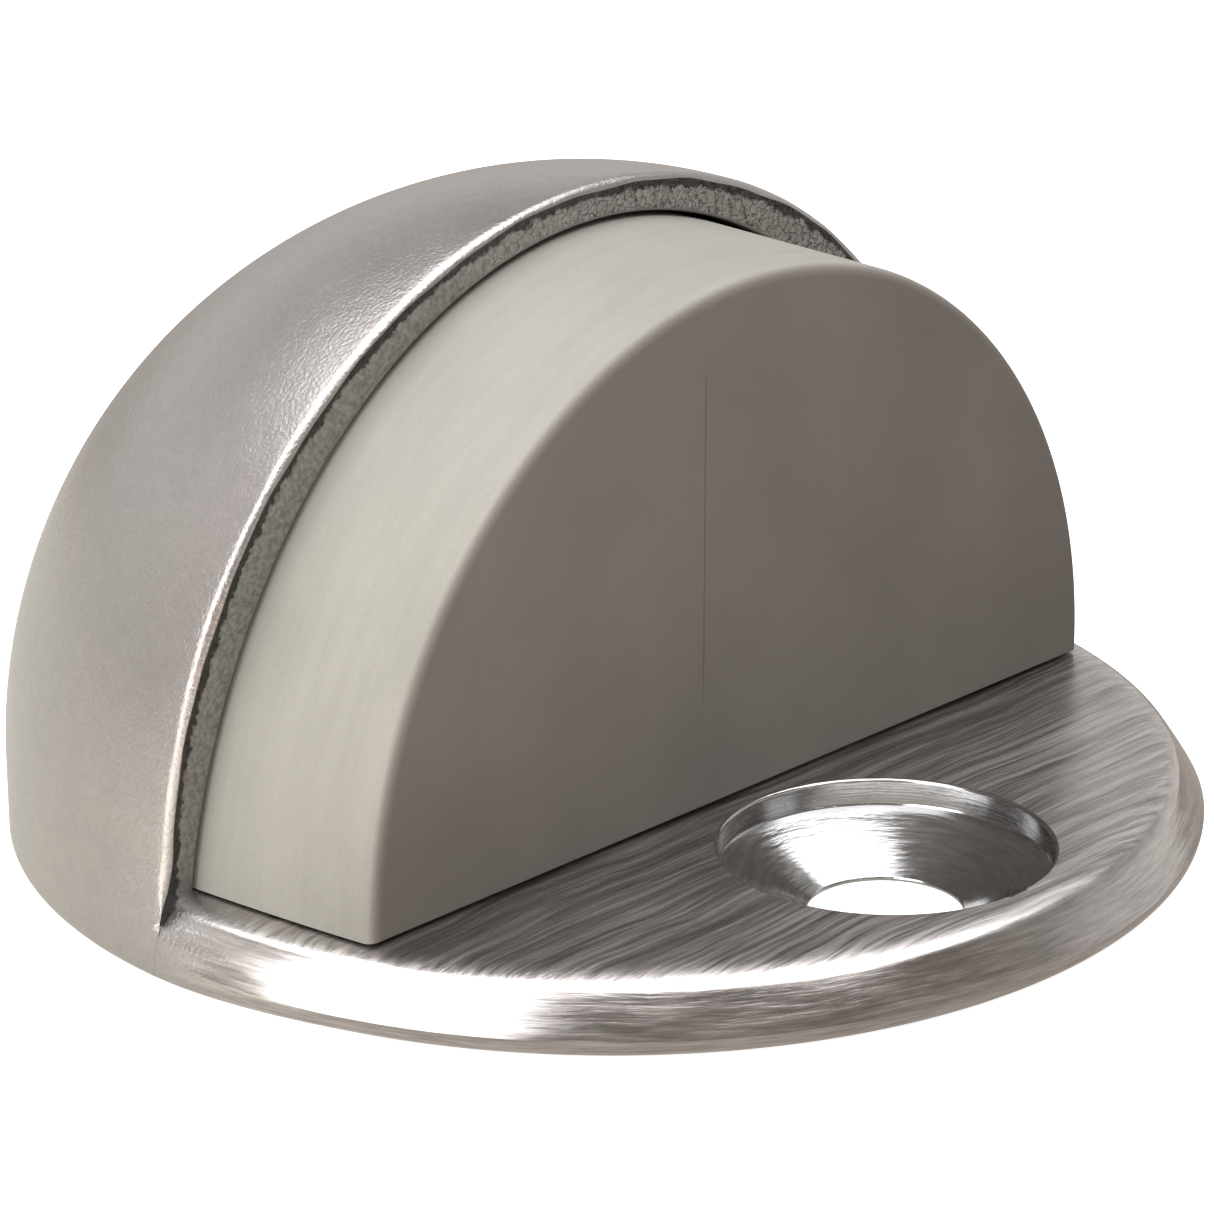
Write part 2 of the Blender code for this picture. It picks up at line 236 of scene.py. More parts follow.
def hood_inside(plane_y, share):
    """The matching arch of the pocket."""
    wide = pocket_radius(HOOD_Z)
    lean = math.asin((plane_y - HOOD_Y) / wide)
    beta = lean + (math.pi / 2 - lean) * share
    left = []
    for z in SKIRT:
        r = pocket_radius(z)
        start = math.asin((plane_y - HOOD_Y) / r)
        a = start + (math.pi / 2 - start) * share
        left.append((-r * math.cos(a), HOOD_Y + r * math.sin(a), z))
    y = HOOD_Y + wide * math.sin(beta)
    off = (y - HOOD_Y) / POCKET_R
    crown = POCKET_Z + (POCKET_TOP - POCKET_Z) * math.sqrt(1.0 - off ** 2)
    points = list(left)
    for th in arc_angles():
        z = HOOD_Z + (crown - HOOD_Z) * math.sin(th)
        half = math.sqrt(max(pocket_radius(z) ** 2 - (y - HOOD_Y) ** 2, 0.0))
        points.append((-math.copysign(half, math.cos(th)), y, z))
    return points + [(-x, y, z) for x, y, z in left[::-1]]


def plane_normals(points):
    """Outward normals of an arch within its own plane."""
    out = []
    for i, p in enumerate(points):
        a, b = points[max(i - 1, 0)], points[min(i + 1, len(points) - 1)]
        dx, dz = b[0] - a[0], b[2] - a[2]
        if p[2] <= HOOD_Z + 1e-6:
            out.append((math.copysign(1.0, p[0]), 0.0))
        else:
            length = math.hypot(dx, dz)
            out.append((-dz / length, dx / length))
    return out


def make_hood():
    build = Builder()
    y_out, y_in = CUT_Y + RIM_ROUND, CUT_Y + RIM_INNER_ROUND
    outer = [build.row(hood_outside(y_out, j / BACK_STEPS)) for j in range(BACK_STEPS + 1)]
    back_in = BACK_STEPS // 2
    inner = [build.row(hood_inside(y_in, j / back_in)) for j in range(back_in + 1)]
    for rows in (outer, inner):
        for a, b in zip(rows, rows[1:]):
            build.strip(a, b)

    rings = [outer[0]]
    inner_edge, foot_edge = hood_inside(y_in, 0.0), hood_outside(CUT_Y, 0.0)
    for k in range(1, RIM_STEPS + 1):
        a = math.pi / 2 * k / RIM_STEPS
        push, back = RIM_ROUND * (1 - math.cos(a)), RIM_ROUND * (1 - math.sin(a))
        ring = []
        edge = hood_outside(CUT_Y + back, 0.0)
        for i, ((x, _, z), foot, (nx, nz)) in enumerate(zip(edge, foot_edge, plane_normals(edge))):
            fade = smoothstep((z - RIM_FADE[0]) / (RIM_FADE[1] - RIM_FADE[0]))
            x, z = mix(foot[0], x, fade), mix(foot[2], z, fade)
            # the fettled edge isn't perfectly even
            dent = RIM_WAVE * (math.sin(0.31 * i) + 0.6 * math.sin(0.83 * i + 1.0)) * k / RIM_STEPS
            push_in = (push + dent) * fade
            ring.append((x - nx * push_in, CUT_Y + back * fade, z - nz * push_in))
        rings.append(build.row(ring))
    for k in range(5, 0, -1):
        a = math.pi / 2 * k / 5
        pull, back = RIM_INNER_ROUND * (1 - math.cos(a)), RIM_INNER_ROUND * (1 - math.sin(a))
        ring = []
        for (x, _, z), (nx, nz) in zip(inner_edge, plane_normals(inner_edge)):
            fade = smoothstep((z - RIM_FADE[0]) / (RIM_FADE[1] - RIM_FADE[0]))
            ring.append((x + nx * pull * fade, CUT_Y + back * fade, z + nz * pull * fade))
        rings.append(build.row(ring))
    rings.append(inner[0])
    for a, b in zip(rings, rings[1:]):
        build.strip(a, b)

    for end in (0, -1):
        build.faces.append([ring[end] for ring in rings])
        feet_out = [row[end] for row in outer]
        feet_in = [row[end] for row in inner]
        for j in range(back_in):
            build.faces.append([feet_out[2 * j], feet_out[2 * j + 1], feet_out[2 * j + 2],
                                feet_in[j + 1], feet_in[j]])
    return build.make("Casting")


def hood_reach(angle, z):
    """How far the hood's outside is from the base's centre in a direction."""
    cy, r = hood_ring(z)
    off = cy - BASE_Y
    return off * math.sin(angle) + math.sqrt(r ** 2 - (off * math.cos(angle)) ** 2)


def make_base():
    slope = (SIDE_BULGE[1] - SHOULDER[1]) / (SIDE_BULGE[0] - SHOULDER[0])
    roll = (SHOULDER[0] + (BASE_T - SHOULDER[1]) / slope, BASE_T)
    side = [(BASE_R - inset, z) for inset, z in foot_round(FOOT_ROUND, 10)]
    side += bend((BASE_R, FOOT_ROUND), SIDE_BULGE, SHOULDER, 12)[1:]
    top = bend(SHOULDER, roll, (FLAT_R, BASE_T), 14)[1:] + [(FLAT_R - 0.35, BASE_T)]
    build = Builder()
    rings = []
    for i, (r, z) in enumerate([(side[0][0] - SOLE_INSET, 0.0)] + side + top):
        ring = []
        for k in range(DISC_SEGS):
            a = 2 * math.pi * (k + 0.5) / DISC_SEGS
            y = BASE_Y + r * math.sin(a)
            reach = r
            if i <= len(side):
                near = smoothstep((y - CUT_Y + FOOT_BLEND) / FOOT_BLEND)
                inward = SOLE_INSET if i == 0 else 0.0
                fade = 1.0 if z < SHOULDER[1] - 0.7 else (SHOULDER[1] - z) / 0.7
                reach = mix(r, hood_reach(a, z) - inward - FOOT_UNDERLAP, near * fade)
            p = Vector((reach * math.cos(a), BASE_Y + reach * math.sin(a)))
            behind = p.y - CUT_Y - FOOT_OVERRUN
            if behind > 0.0:
                inside = Vector((WALL_MID_R * math.cos(a), HOOD_Y + WALL_MID_R * math.sin(a)))
                p = p.lerp(inside, min(behind / FOOT_DIVE, 1.0))
            ring.append((p.x, p.y, z))
        rings.append(build.row(ring))
    for a, b in zip(rings, rings[1:]):
        build.strip(a, b, closed=True)
    build.faces.append(rings[0][::-1])
    build.faces.append(rings[-1][:])
    return build.make("Base_tool")


def make_cutters():
    t, r, e = BASE_T, HOLE_TOP_R, HOLE_EDGE
    lip = [(r + e * (1 - math.cos(a)), t - e + e * math.sin(a))
           for a in (math.pi / 2 * k / 5 for k in range(5, -1, -1))]
    cone_top = t - HOLE_LIP
    hole = turned("Hole_tool", [(0, t + 1), (r + e, t + 1)] + lip
                  + [(r, cone_top + 0.05), (r - 0.05, cone_top - 0.03), (r - 0.12, cone_top - 0.06),
                     (HOLE_R + 0.04, HOLE_FLOOR + 0.03), (HOLE_R, HOLE_FLOOR - 0.03), (HOLE_R, -1),
                     (0, -1)], (0, HOLE_Y), HOLE_SEGS)
    head, shank = HEAD_R + SINK_SLACK, SHANK_R + SHANK_SLACK
    sink = turned("Sink_tool", [(0, -1), (head + 0.06, -1), (head + 0.06, 0), (head, 0.06),
                                (head, 0.5), (shank, 0.5 + head - shank), (shank, t + 1),
                                (0, t + 1)], (0, SCREW_Y), 96)
    start = math.asin((CORE_Y - HOOD_Y) / CORE_R)
    outline = [(CORE_R * math.cos(a), HOOD_Y + CORE_R * math.sin(a))
               for a in (mix(start, math.pi - start, k / 96) for k in range(97))]
    build = Builder()
    low = build.row([(x, y, -1) for x, y in outline])
    high = build.row([(x, y, t + 1) for x, y in outline])
    build.strip(low, high, closed=True)
    build.faces += [low[::-1], high[:]]
    return [hole, sink, build.make("Core_tool")]


def boolean(target, tool, kind):
    mod = target.modifiers.new(tool.name, "BOOLEAN")
    mod.operation = kind
    mod.solver = "EXACT"
    mod.object = tool


def apply_modifiers(ob):
    dg = bpy.context.evaluated_depsgraph_get()
    mesh = bpy.data.meshes.new_from_object(ob.evaluated_get(dg))
    ob.modifiers.clear()
    ob.data = mesh


def shade(ob, degrees):
    for poly in ob.data.polygons:
        poly.use_smooth = True
    ob.data.set_sharp_from_angle(angle=math.radians(degrees))
    mod = ob.modifiers.new("Weighted normals", "WEIGHTED_NORMAL")
    mod.keep_sharp = True
    mod.weight = 50


METAL, RIM, POLISHED, CAST = range(4)


def zone(c, n):
    """Which finish a face of the casting has, from its middle and its normal."""
    from_hole = math.hypot(c.x, c.y - HOLE_Y)
    from_screw = math.hypot(c.x, c.y - SCREW_Y)
    if from_hole < HOLE_TOP_R + HOLE_EDGE and c.z < BASE_T - 1e-4 and n.z > -0.5:
        return POLISHED
    if from_screw < HEAD_R + 0.45 and 1e-4 < c.z < BASE_T:
        return POLISHED
    if n.z < -0.95 and c.z < 0.02:
        return CAST
    if abs(c.y - CUT_Y) < 0.03 and n.y < -0.9 and c.z > 2.0:
        return RIM
    if c.y > CUT_Y:
        inside = math.hypot(c.x, c.y - HOOD_Y) < pocket_radius(c.z) + 0.12
        if inside and c.z < POCKET_TOP:
            return CAST
    return METAL


def make_casting(materials):
    hood, base = make_hood(), make_base()
    tools = make_cutters()
    for tool in tools:
        boolean(base, tool, "DIFFERENCE")
    apply_modifiers(base)
    boolean(hood, base, "UNION")
    apply_modifiers(hood)
    for ob in tools + [base]:
        bpy.data.objects.remove(ob)
    for mat in materials:
        hood.data.materials.append(mat)
    for poly in hood.data.polygons:
        poly.material_index = zone(poly.center / MM, poly.normal)
    shade(hood, 30)
    return hood


# ---------------------------------------------------------------- bumper

def bumper_sections():
    """(y, half width, rise, centre height, underside) from the face to the back."""
    floor = BASE_T + BUMPER_SEAT
    full, top = POCKET_R - BUMPER_GAP, POCKET_TOP - BUMPER_GAP

    def side(y):
        share = (y - FACE_Y) / (CUT_Y - FACE_Y)
        return (mix(FACE_R, full, share), mix(FACE_TOP - FACE_Z, top - POCKET_Z, share),
                mix(FACE_Z, POCKET_Z, share))

    def inside(y):
        half = math.sqrt(full ** 2 - (y - HOOD_Y) ** 2)
        return half, (top - POCKET_Z) * half / full, POCKET_Z

    rows = []
    for k in range(13):
        a = math.pi / 2 * (1 - k / 12)
        inset = FACE_ROUND * (1 - math.cos(a))
        y = FACE_Y + FACE_ROUND * (1 - math.sin(a))
        half, rise, zc = side(y)
        rows.append((y, half - inset, rise - inset, zc, floor + 0.25 * inset))
    for k in range(1, 17):
        y = mix(FACE_Y + FACE_ROUND, CUT_Y, k / 16)
        rows.append((y, *side(y), floor))
    for k in range(1, 13):
        y = mix(CUT_Y, BACK_Y - BACK_ROUND, k / 12)
        rows.append((y, *inside(y), floor))
    for k in range(1, 7):
        a = math.pi / 2 * k / 6
        inset = BACK_ROUND * (1 - math.cos(a))
        y = BACK_Y - BACK_ROUND * (1 - math.sin(a))
        half, rise, zc = inside(y)
        rows.append((y, half - inset, rise - inset, zc, floor))
    return rows


def make_bumper(mat):
    build = Builder()
    rings = []
    for y, half, rise, zc, zb in bumper_sections():
        start = math.asin((zb - zc) / rise)
        arch = []
        for k in range(BUMPER_STEPS + 1):
            a = math.pi - start - (math.pi - 2 * start) * k / BUMPER_STEPS
            arch.append((half * math.cos(a), y, zc + rise * math.sin(a)))
        foot = [(mix(arch[-1][0], arch[0][0], k / UNDER_STEPS), y, zb)
                for k in range(1, UNDER_STEPS)]
        rings.append(build.row(arch + foot))
    for a, b in zip(rings, rings[1:]):
        build.strip(a, b, closed=True)
    build.faces.append(rings[0][:])
    build.faces.append(rings[-1][::-1])
    bumper = build.make("Bumper_rubber")

    r, waist, top = INSERT_POCKET_R, INSERT_POCKET_WAIST_R, INSERT_POCKET_TOP
    pocket = turned("Insert_tool", [(0, 1.0), (r, 1.0), (r, 5.2), (waist, 5.5), (waist, 6.6),
                                    (r, 6.9), (r, top), (0, top)], (0, SCREW_Y), 64)
    boolean(bumper, pocket, "DIFFERENCE")
    apply_modifiers(bumper)
    bpy.data.objects.remove(pocket)
    bumper.data.materials.append(mat)
    shade(bumper, 35)
    return bumper


# ---------------------------------------------------------------- materials

class Surface:
    """A Principled material and short ways to add nodes to it."""

    def __init__(self, name):
        self.mat = bpy.data.materials.new(name)
        self.mat.use_nodes = True
        self.tree = self.mat.node_tree
        self.shader = self.tree.nodes["Principled BSDF"]
        place = self.add("ShaderNodeTexCoord").outputs["Object"]
        self.at = self.vector("SCALE", place, scale=1.0 / MM)

    def add(self, kind, inputs=(), **props):
        node = self.tree.nodes.new(kind)
        for key, value in props.items():
            setattr(node, key, value)
        for key, value in dict(inputs).items():
            self.feed(node.inputs[key], value)
        return node

    def feed(self, socket, value):
        if isinstance(value, bpy.types.NodeSocket):
            self.tree.links.new(value, socket)
        else:
            socket.default_value = value

    def vector(self, operation, a, b=None, scale=None):
        inputs = {0: a}
        if b is not None:
            inputs[1] = b
        if scale is not None:
            inputs["Scale"] = scale
        return self.add("ShaderNodeVectorMath", inputs, operation=operation).outputs[0]

    def math(self, operation, a, b=0.5):
        return self.add("ShaderNodeMath", {0: a, 1: b}, operation=operation).outputs[0]

    def split(self, vector):
        node = self.add("ShaderNodeSeparateXYZ", {0: vector})
        return node.outputs[0], node.outputs[1], node.outputs[2]

    def join(self, x, y, z):
        return self.add("ShaderNodeCombineXYZ", {0: x, 1: y, 2: z}).outputs[0]

    def noise(self, vector, scale, detail=3.0, rough=0.55):
        return self.add("ShaderNodeTexNoise", {"Vector": vector, "Scale": scale, "Detail": detail,
                                               "Roughness": rough}).outputs["Fac"]

    def ramp(self, value, low, high, out_low=0.0, out_high=1.0):
        return self.add("ShaderNodeMapRange", {0: value, 1: low, 2: high, 3: out_low, 4: out_high},
                        interpolation_type="SMOOTHSTEP").outputs[0]

    def blend(self, share, a, b):
        """Mixes two numbers."""
        node = self.add("ShaderNodeMix", data_type="FLOAT")
        for key, value in ((0, share), (2, a), (3, b)):
            self.feed(node.inputs[key], value)
        return node.outputs[0]

    def tint(self, share, a, b):
        """Mixes two colours."""
        node = self.add("ShaderNodeMix", data_type="RGBA")
        for key, value in ((0, share), (6, a), (7, b)):
            self.feed(node.inputs[key], value)
        return node.outputs[2]

    def bump(self, height, distance):
        return self.add("ShaderNodeBump", {"Height": height, "Distance": distance * MM,
                                           "Strength": 1.0}).outputs[0]

    def finish(self, colour, rough, normal, metallic=1.0, **uniform):
        self.feed(self.shader.inputs["Base Color"], colour)
        self.feed(self.shader.inputs["Roughness"], rough)
        if normal is not None:
            self.feed(self.shader.inputs["Normal"], normal)
        self.shader.inputs["Metallic"].default_value = metallic
        for key, value in uniform.items():
            self.shader.inputs[key.replace("_", " ")].default_value = value
        return self.mat


def satin_nickel():
    s = Surface("Satin_nickel_brushed")
    x, y, z = s.split(s.at)
    nz = s.split(s.add("ShaderNodeNewGeometry").outputs["Normal"])[2]

    # where each finish is: 1 on the flange, its rolled edge and side, 0 on the dome
    front = s.ramp(y, 1.4, -3.5)
    low = s.ramp(z, BASE_T + 0.25, BASE_T + 0.05)
    flange = s.math("MULTIPLY", front, low)
    flat = s.ramp(nz, 0.80, 0.97)

    # brushing along the flange, round its edge, and slantwise on the dome
    waver = s.noise(s.at, 0.11, 2.0)
    sway = s.math("MULTIPLY", s.math("SUBTRACT", waver), 1.6)
    along = s.join(s.math("MULTIPLY", x, 0.035), s.math("ADD", y, sway), z)
    streak_top = s.noise(along, 3.4, 4.0, 0.62)
    fine_top = s.noise(along, 10.0, 3.0, 0.6)
    angle = s.math("ARCTAN2", y, x)
    lift = s.math("ADD", z, s.math("MULTIPLY", sway, 0.25))
    around = s.join(s.math("MULTIPLY", angle, 1.6), lift, 0.0)
    streak_side = s.noise(around, 3.6, 4.0, 0.62)
    streak = s.blend(flat, streak_side, streak_top)
    fine = s.blend(flat, s.noise(around, 10.0, 2.0, 0.5), fine_top)

    turn = s.add("ShaderNodeVectorRotate", {"Vector": s.at, "Axis": (0.42, -0.62, 0.66),
                                            "Angle": 1.15}, rotation_type="AXIS_ANGLE").outputs[0]
    tx, ty, tz = s.split(turn)
    slant = s.noise(s.join(s.math("MULTIPLY", tx, 0.10), ty, tz), 1.5, 3.0, 0.55)
    grain = s.noise(s.at, 6.5, 2.0, 0.6)
    cloud = s.noise(s.at, 0.12, 3.0, 0.5)

    dome_mark = s.blend(0.35, grain, slant)
    dome_level = s.math("ADD", s.ramp(dome_mark, 0.25, 0.75, -0.03, 0.03), 0.425)
    marks = s.math("ADD", s.ramp(streak, 0.3, 0.7, -0.12, 0.12),
                   s.ramp(fine, 0.3, 0.7, -0.09, 0.07))
    flange_level = s.math("ADD", s.math("MULTIPLY", marks, s.blend(flat, 0.6, 1.0)), 0.50)
    level = s.blend(flange, dome_level, flange_level)
    shade_colour = s.tint(cloud, (1.045, 0.975, 0.975, 1.0), (1.025, 0.985, 0.96, 1.0))
    colour = s.vector("MULTIPLY", shade_colour, s.join(level, level, level))

    dome_rough = s.ramp(cloud, 0.3, 0.7, 0.31, 0.37)
    flange_rough = s.blend(flat, s.ramp(streak, 0.3, 0.7, 0.15, 0.26),
                           s.ramp(streak, 0.3, 0.7, 0.27, 0.39))
    rough = s.blend(flange, dome_rough, flange_rough)

    dome_height = s.blend(0.45, grain, slant)
    flange_height = s.blend(0.35, streak, fine)
    flange_height = s.math("MULTIPLY", flange_height, s.blend(flat, 0.35, 0.6))
    height = s.blend(flange, dome_height, flange_height)
    return s.finish(colour, rough, s.bump(height, 0.05))


def cast_rim():
    s = Surface("Rim_as_cast_nickel")
    x, _, z = s.split(s.at)
    grain = s.noise(s.at, 4.2, 5.0, 0.7)
    shift = s.join(grain, grain, s.noise(s.at, 1.3, 3.0, 0.6))
    shift = s.vector("MULTIPLY", shift, (0.9, 0.9, 1.4))
    cells = s.add("ShaderNodeTexVoronoi", {"Vector": s.vector("ADD", s.at, shift), "Scale": 2.7},
                  feature="DISTANCE_TO_EDGE").outputs["Distance"]
    crack = s.ramp(cells, 0.0, 0.13)
    # cracked and darker on the crown's right half, smoother and lighter down the left
    coarse = s.ramp(x, -9.0, 3.0)
    level = s.math("ADD", s.ramp(grain, 0.3, 0.7, -0.10, 0.10), s.blend(coarse, 0.34, 0.44))
    level = s.math("MULTIPLY", level, s.blend(coarse, 1.0, s.ramp(crack, 0.0, 1.0, 0.22, 1.05)))
    # painted shadow: a dark ragged line where the rim meets its rounded outer edge, standing in for
    # the shadow under that edge
    rise = s.math("SUBTRACT", z, HOOD_Z)
    reach = s.math("SQRT", s.math("ADD", s.math("MULTIPLY", x, x), s.math("MULTIPLY", rise, rise)))
    ragged_shadow_reach = s.math("ADD", reach, s.ramp(s.noise(s.at, 1.1, 4.0, 0.7), 0.3, 0.7, -0.16, 0.16))
    level = s.math("MULTIPLY", level, s.ramp(ragged_shadow_reach, 21.98, 22.14, 1.0, 0.22))
    colour = s.vector("MULTIPLY", (1.02, 1.0, 0.96), s.join(level, level, level))
    height = s.blend(coarse, s.math("MULTIPLY", grain, 0.4), crack)
    return s.finish(colour, s.ramp(grain, 0.3, 0.7, 0.30, 0.48), s.bump(height, 0.10))


def polished_sink():
    s = Surface("Polished_countersink")
    x, y, z = s.split(s.at)
    angle = s.math("ARCTAN2", s.math("SUBTRACT", y, HOLE_Y), x)
    around = s.join(s.math("MULTIPLY", angle, 0.35), z, 0.0)
    turn = s.noise(around, 9.0, 3.0, 0.6)
    level = s.math("ADD", s.ramp(turn, 0.3, 0.7, -0.045, 0.045), 0.50)
    colour = s.vector("MULTIPLY", (1.0, 1.0, 1.01), s.join(level, level, level))
    return s.finish(colour, s.ramp(turn, 0.3, 0.7, 0.10, 0.17), s.bump(turn, 0.012))


def cast_underside():
    s = Surface("Underside_as_cast")
    grain = s.noise(s.at, 3.2, 5.0, 0.65)
    patch = s.noise(s.at, 0.35, 3.0, 0.5)
    level = s.math("ADD", s.ramp(grain, 0.3, 0.7, -0.05, 0.05), s.ramp(patch, 0.3, 0.7, 0.25, 0.33))
    colour = s.vector("MULTIPLY", (1.02, 1.0, 0.97), s.join(level, level, level))
    return s.finish(colour, s.ramp(patch, 0.3, 0.7, 0.45, 0.6), s.bump(grain, 0.05))


def grey_rubber():
    s = Surface("Grey_moulded_rubber")
    x, y, z = s.split(s.at)
    cloud = s.noise(s.at, 0.13, 3.0, 0.5)
    grain = s.noise(s.at, 9.0, 2.0, 0.6)
    # flow marks along the arch and a faint parting line down the face
    drawn = s.join(s.math("MULTIPLY", x, 0.1), y, s.math("MULTIPLY", z, 0.1))
    flow = s.noise(drawn, 1.6, 3.0, 0.55)
    off = s.math("ABSOLUTE", s.math("SUBTRACT", x, MOULD_LINE_X))
    on_face = s.ramp(y, FACE_Y + 0.5, FACE_Y + 0.05)
    tall = s.math("MULTIPLY", s.ramp(z, 5.5, 9.0), s.ramp(z, 22.0, 19.0))
    line = s.math("MULTIPLY", s.ramp(off, 0.06, 0.02), s.math("MULTIPLY", on_face, tall))
    level = s.math("ADD", s.ramp(cloud, 0.3, 0.7, -0.014, 0.014), 0.272)
    level = s.math("ADD", level, s.ramp(grain, 0.3, 0.7, -0.010, 0.010))
    level = s.math("ADD", level, s.ramp(flow, 0.3, 0.7, -0.008, 0.008))
    level = s.math("MULTIPLY", level, s.ramp(line, 0.0, 1.0, 1.0, 0.72))
    # painted shade: the face is darker and browner than the sides, most of all toward its foot,
    # standing in for the shade it lies in, away from the softboxes
    painted_face_shade = s.ramp(y, FACE_Y + 0.35, FACE_Y + 0.02)
    level = s.math("MULTIPLY", level, s.blend(painted_face_shade, 1.0, s.ramp(z, 4.0, 13.0, 0.49, 0.60)))
    tone = s.tint(s.noise(s.at, 0.09, 2.0), (1.035, 0.99, 0.91, 1.0), (1.025, 0.995, 0.90, 1.0))
    # painted shade: the browner tone of the face stands in for the warm, dim light that reaches it
    tone = s.tint(painted_face_shade, tone, (1.06, 0.965, 0.89, 1.0))
    colour = s.vector("MULTIPLY", tone, s.join(level, level, level))
    height = s.math("SUBTRACT", s.blend(0.3, grain, flow), s.math("MULTIPLY", line, 0.8))
    return s.finish(colour, s.ramp(grain, 0.3, 0.7, 0.62, 0.74), s.bump(height, 0.02), metallic=0.0,
                    Specular_IOR_Level=0.35)


def turned_metal(name, colour, lines):
    """Machined small parts: fine turning rings round their own axis."""
    s = Surface(name)
    x, y, z = s.split(s.at)
    r = s.math("SQRT", s.math("ADD", s.math("MULTIPLY", x, x),
                              s.math("MULTIPLY", s.math("SUBTRACT", y, SCREW_Y),
                                     s.math("SUBTRACT", y, SCREW_Y))))
    rings = s.noise(s.join(r, 0.0, z), lines, 3.0, 0.6)
    stain = s.noise(s.at, 0.9, 3.0, 0.5)
    level = s.math("ADD", s.ramp(rings, 0.3, 0.7, -0.10, 0.10), s.ramp(stain, 0.3, 0.7, 0.88, 1.02))
    shade_colour = s.vector("MULTIPLY", colour, s.join(level, level, level))
    return s.finish(shade_colour, s.ramp(stain, 0.3, 0.7, 0.26, 0.42), s.bump(rings, 0.02))


# ---------------------------------------------------------------- studio

def floor_sheet(name, height):
    build = Builder()
    spots = [mix(-FLOOR_HALF, FLOOR_HALF, k / FLOOR_STEPS) for k in range(FLOOR_STEPS + 1)]
    grid = [build.row([(x, y, height) for x in spots]) for y in spots]
    for a, b in zip(grid, grid[1:]):
        build.strip(a, b)
    return build.make(name)


def studio_floor():
    """The white sweep the object stands on."""
    floor = floor_sheet("Studio_floor", 0.0)
    s = Surface("Studio_white")
    level = s.ramp(s.noise(s.at, 0.004, 2.0), 0.3, 0.7, 0.80, 0.82)
    s.finish(s.join(level, level, level), 0.9, None, metallic=0.0, Specular_IOR_Level=0.1)
    s.shader.inputs["Emission Color"].default_value = (1.0, 1.0, 1.0, 1.0)
    s.shader.inputs["Emission Strength"].default_value = 0.80
    floor.data.materials.append(s.mat)
    floor.visible_diffuse = floor.visible_glossy = False
    return floor


def bounce_floor():
    """What the object's surfaces see of the floor: brighter behind and to the left."""
    floor = floor_sheet("Bounce_floor", -BOUNCE_DROP)
    s = Surface("Bounce_light")
    x, y, _ = s.split(s.at)
    back = s.math("MULTIPLY", s.ramp(y, -45.0, 25.0), s.ramp(x, 40.0, 0.0))
    left = s.math("MULTIPLY", s.ramp(x, -25.0, -45.0), s.ramp(y, 22.0, -5.0))
    level = s.math("ADD", s.ramp(back, 0.0, 1.0, FLOOR_FRONT, FLOOR_BACK),
                   s.math("MULTIPLY", left, FLOOR_LEFT))
    tone = s.tint(back, (1.0, 0.89, 0.79, 1.0), (1.0, 0.975, 0.87, 1.0))
    glow = s.vector("MULTIPLY", tone, s.join(level, level, level))
    s.feed(s.shader.inputs["Emission Color"], glow)
    s.shader.inputs["Emission Strength"].default_value = 1.0
    dark = s.ramp(s.noise(s.at, 0.01, 2.0), 0.3, 0.7, 0.02, 0.03)
    s.finish(s.join(dark, dark, dark), 0.9, None, metallic=0.0, Specular_IOR_Level=0.0)
    floor.data.materials.append(s.mat)
    floor.visible_camera = False
    return floor


def softbox(name, direction, distance, size, radiance):
    """A rectangular light that faces the object.  Radiance is what a mirror would show."""
    data = bpy.data.lights.new(name, "AREA")
    data.shape = "RECTANGLE"
    data.size, data.size_y = size
    data.energy = radiance * math.pi * size[0] * size[1]
    light = bpy.data.objects.new(name, data)
    bpy.context.scene.collection.objects.link(light)
    aim = Vector((0.0, 0.0, 0.010))
    way = Vector(direction).normalized()
    light.location = aim + way * distance
    light.rotation_euler = (-way).to_track_quat("-Z", "Y").to_euler()
    return light


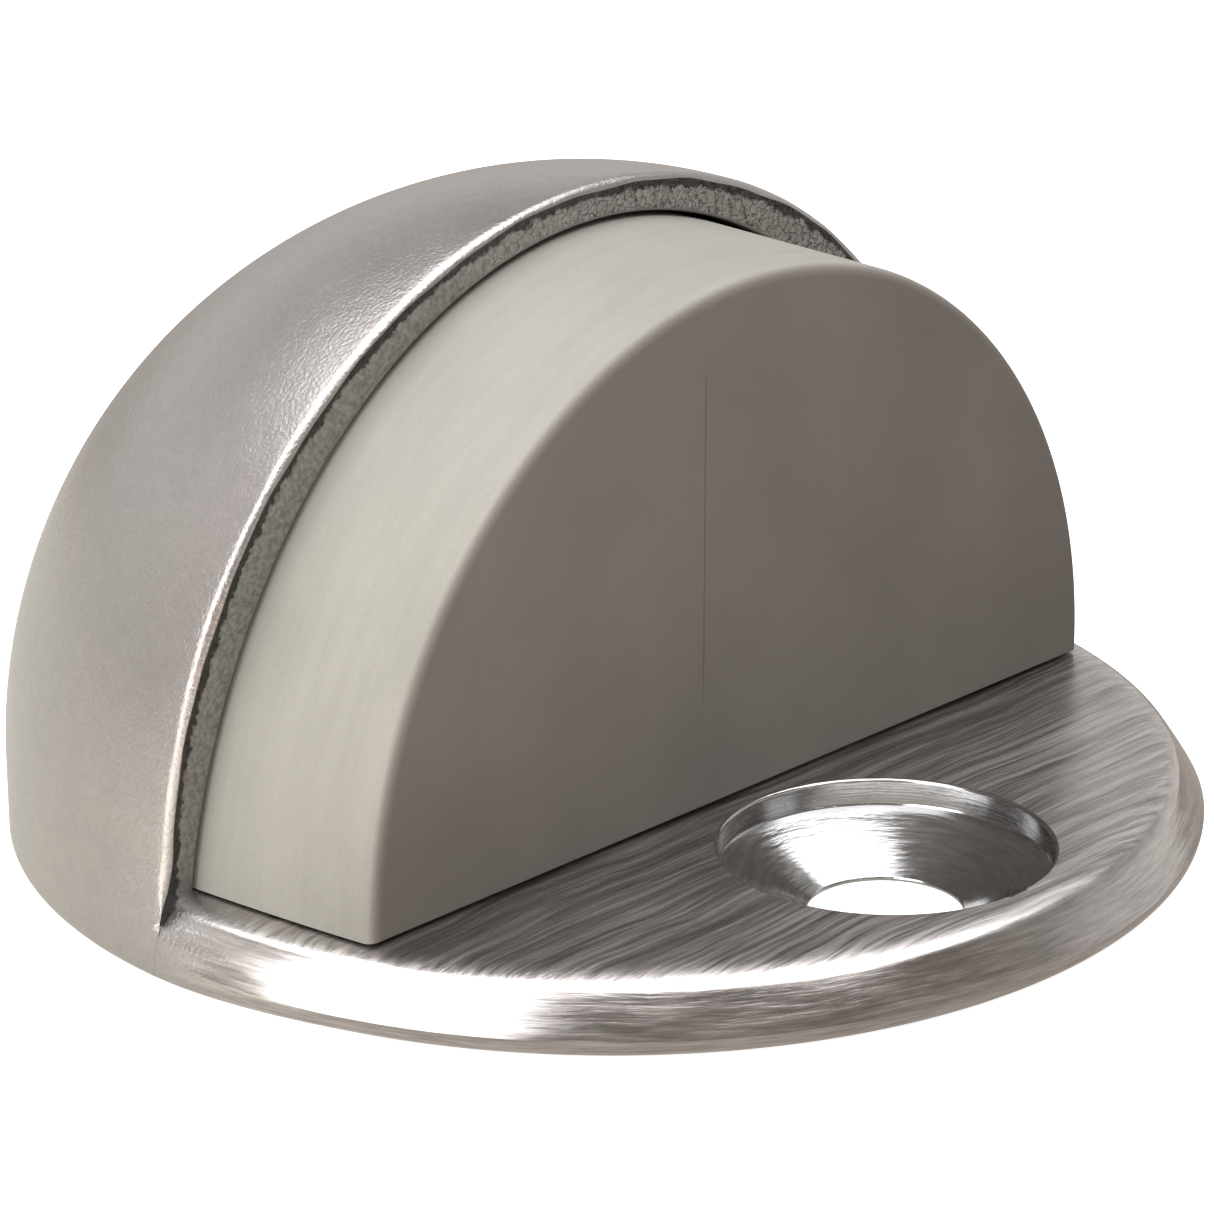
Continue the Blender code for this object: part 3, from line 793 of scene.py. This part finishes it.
def studio_world():
    world = bpy.data.worlds.new("Studio")
    bpy.context.scene.world = world
    world.use_nodes = True
    tree = world.node_tree
    background = tree.nodes["Background"]
    place = tree.nodes.new("ShaderNodeTexCoord").outputs["Generated"]

    def dot(direction):
        node = tree.nodes.new("ShaderNodeVectorMath")
        node.operation = "DOT_PRODUCT"
        tree.links.new(place, node.inputs[0])
        node.inputs[1].default_value = Vector(direction).normalized()
        return node.outputs["Value"]

    def ramp(value, low, high, out_low, out_high):
        node = tree.nodes.new("ShaderNodeMapRange")
        node.interpolation_type = "SMOOTHSTEP"
        tree.links.new(value, node.inputs[0])
        for key, number in zip((1, 2, 3, 4), (low, high, out_low, out_high)):
            node.inputs[key].default_value = number
        return node.outputs[0]

    def combine(operation, a, b):
        node = tree.nodes.new("ShaderNodeMath")
        node.operation = operation
        tree.links.new(a, node.inputs[0])
        tree.links.new(b, node.inputs[1])
        return node.outputs[0]

    height = dot((0, 0, 1))
    depth = dot((0.73, 0.68, 0.0))
    behind = ramp(depth, -0.2, 0.7, 0.0, 0.26)
    sweep = combine("MULTIPLY", ramp(dot((0.55, 0.84, 0.0)), 0.5, 0.93, 0.0, 1.0),
                    ramp(height, 0.46, 0.34, 0.0, 0.60))
    left_back = combine("ADD", ramp(dot((-0.22, 0.80, 0.56)), 0.80, 0.97, 0.0, 0.30),
                        ramp(dot((-0.70, 0.66, 0.27)), 0.74, 0.96, 0.0, 0.54))
    front = combine("MULTIPLY", ramp(dot((-0.2, 0.98, 0.0)), 0.3, -0.2, 0.0, 1.0),
                    ramp(height, 0.55, 0.05, 0.26, 0.62))
    total = combine("ADD", combine("ADD", behind, sweep), combine("ADD", left_back, front))
    tree.links.new(total, background.inputs["Strength"])
    tone = tree.nodes.new("ShaderNodeMix")
    tone.data_type = "RGBA"
    tree.links.new(ramp(depth, -0.3, 0.3, 0.0, 1.0), tone.inputs[0])
    tone.inputs[6].default_value = (1.0, 0.90, 0.79, 1.0)
    tone.inputs[7].default_value = (1.0, 0.97, 0.93, 1.0)
    tree.links.new(tone.outputs[2], background.inputs["Color"])


def place_camera():
    az, el, roll = (math.radians(v) for v in (CAM_AZ, CAM_EL, CAM_ROLL))
    back = Vector((math.sin(az) * math.cos(el), -math.cos(az) * math.cos(el), math.sin(el)))
    right = Vector((math.cos(az), math.sin(az), 0.0))
    up = back.cross(right)
    rolled_right = right * math.cos(roll) + up * math.sin(roll)
    rolled_up = up * math.cos(roll) - right * math.sin(roll)
    data = bpy.data.cameras.new("Camera")
    data.sensor_width = 36.0
    data.lens = CAM_LENS
    data.clip_start, data.clip_end = 0.01, 10.0
    cam = bpy.data.objects.new("Camera", data)
    bpy.context.scene.collection.objects.link(cam)
    spot = (Vector(CAM_AIM) + back * CAM_DIST) * MM
    turn = Matrix((rolled_right, rolled_up, back)).transposed().to_4x4()
    cam.matrix_world = Matrix.Translation(spot) @ turn
    bpy.context.scene.camera = cam


def main():
    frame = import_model()

    casting = make_casting([satin_nickel(), cast_rim(), polished_sink(), cast_underside()])
    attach(casting, "root")
    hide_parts("Cast_hood_and_base")

    bumper = make_bumper(grey_rubber())
    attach(bumper, "root")
    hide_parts("Rubber_bumper")

    small = {"Moulded_in_insert": turned_metal("Insert_brass_turned", (0.62, 0.47, 0.26), 14.0),
             "Bumper_retaining_screw": turned_metal("Zinc_steel_turned", (0.56, 0.57, 0.59), 10.0)}
    for node, mat in small.items():
        for slot in frame["nodes"][node].material_slots:
            slot.material = mat

    studio_floor()
    bounce_floor()
    softbox("Left_softbox", *LEFT_BOX)
    softbox("Overhead_softbox", *OVERHEAD_BOX)
    studio_world()
    place_camera()
    bpy.context.scene.view_settings.view_transform = "Standard"


main()
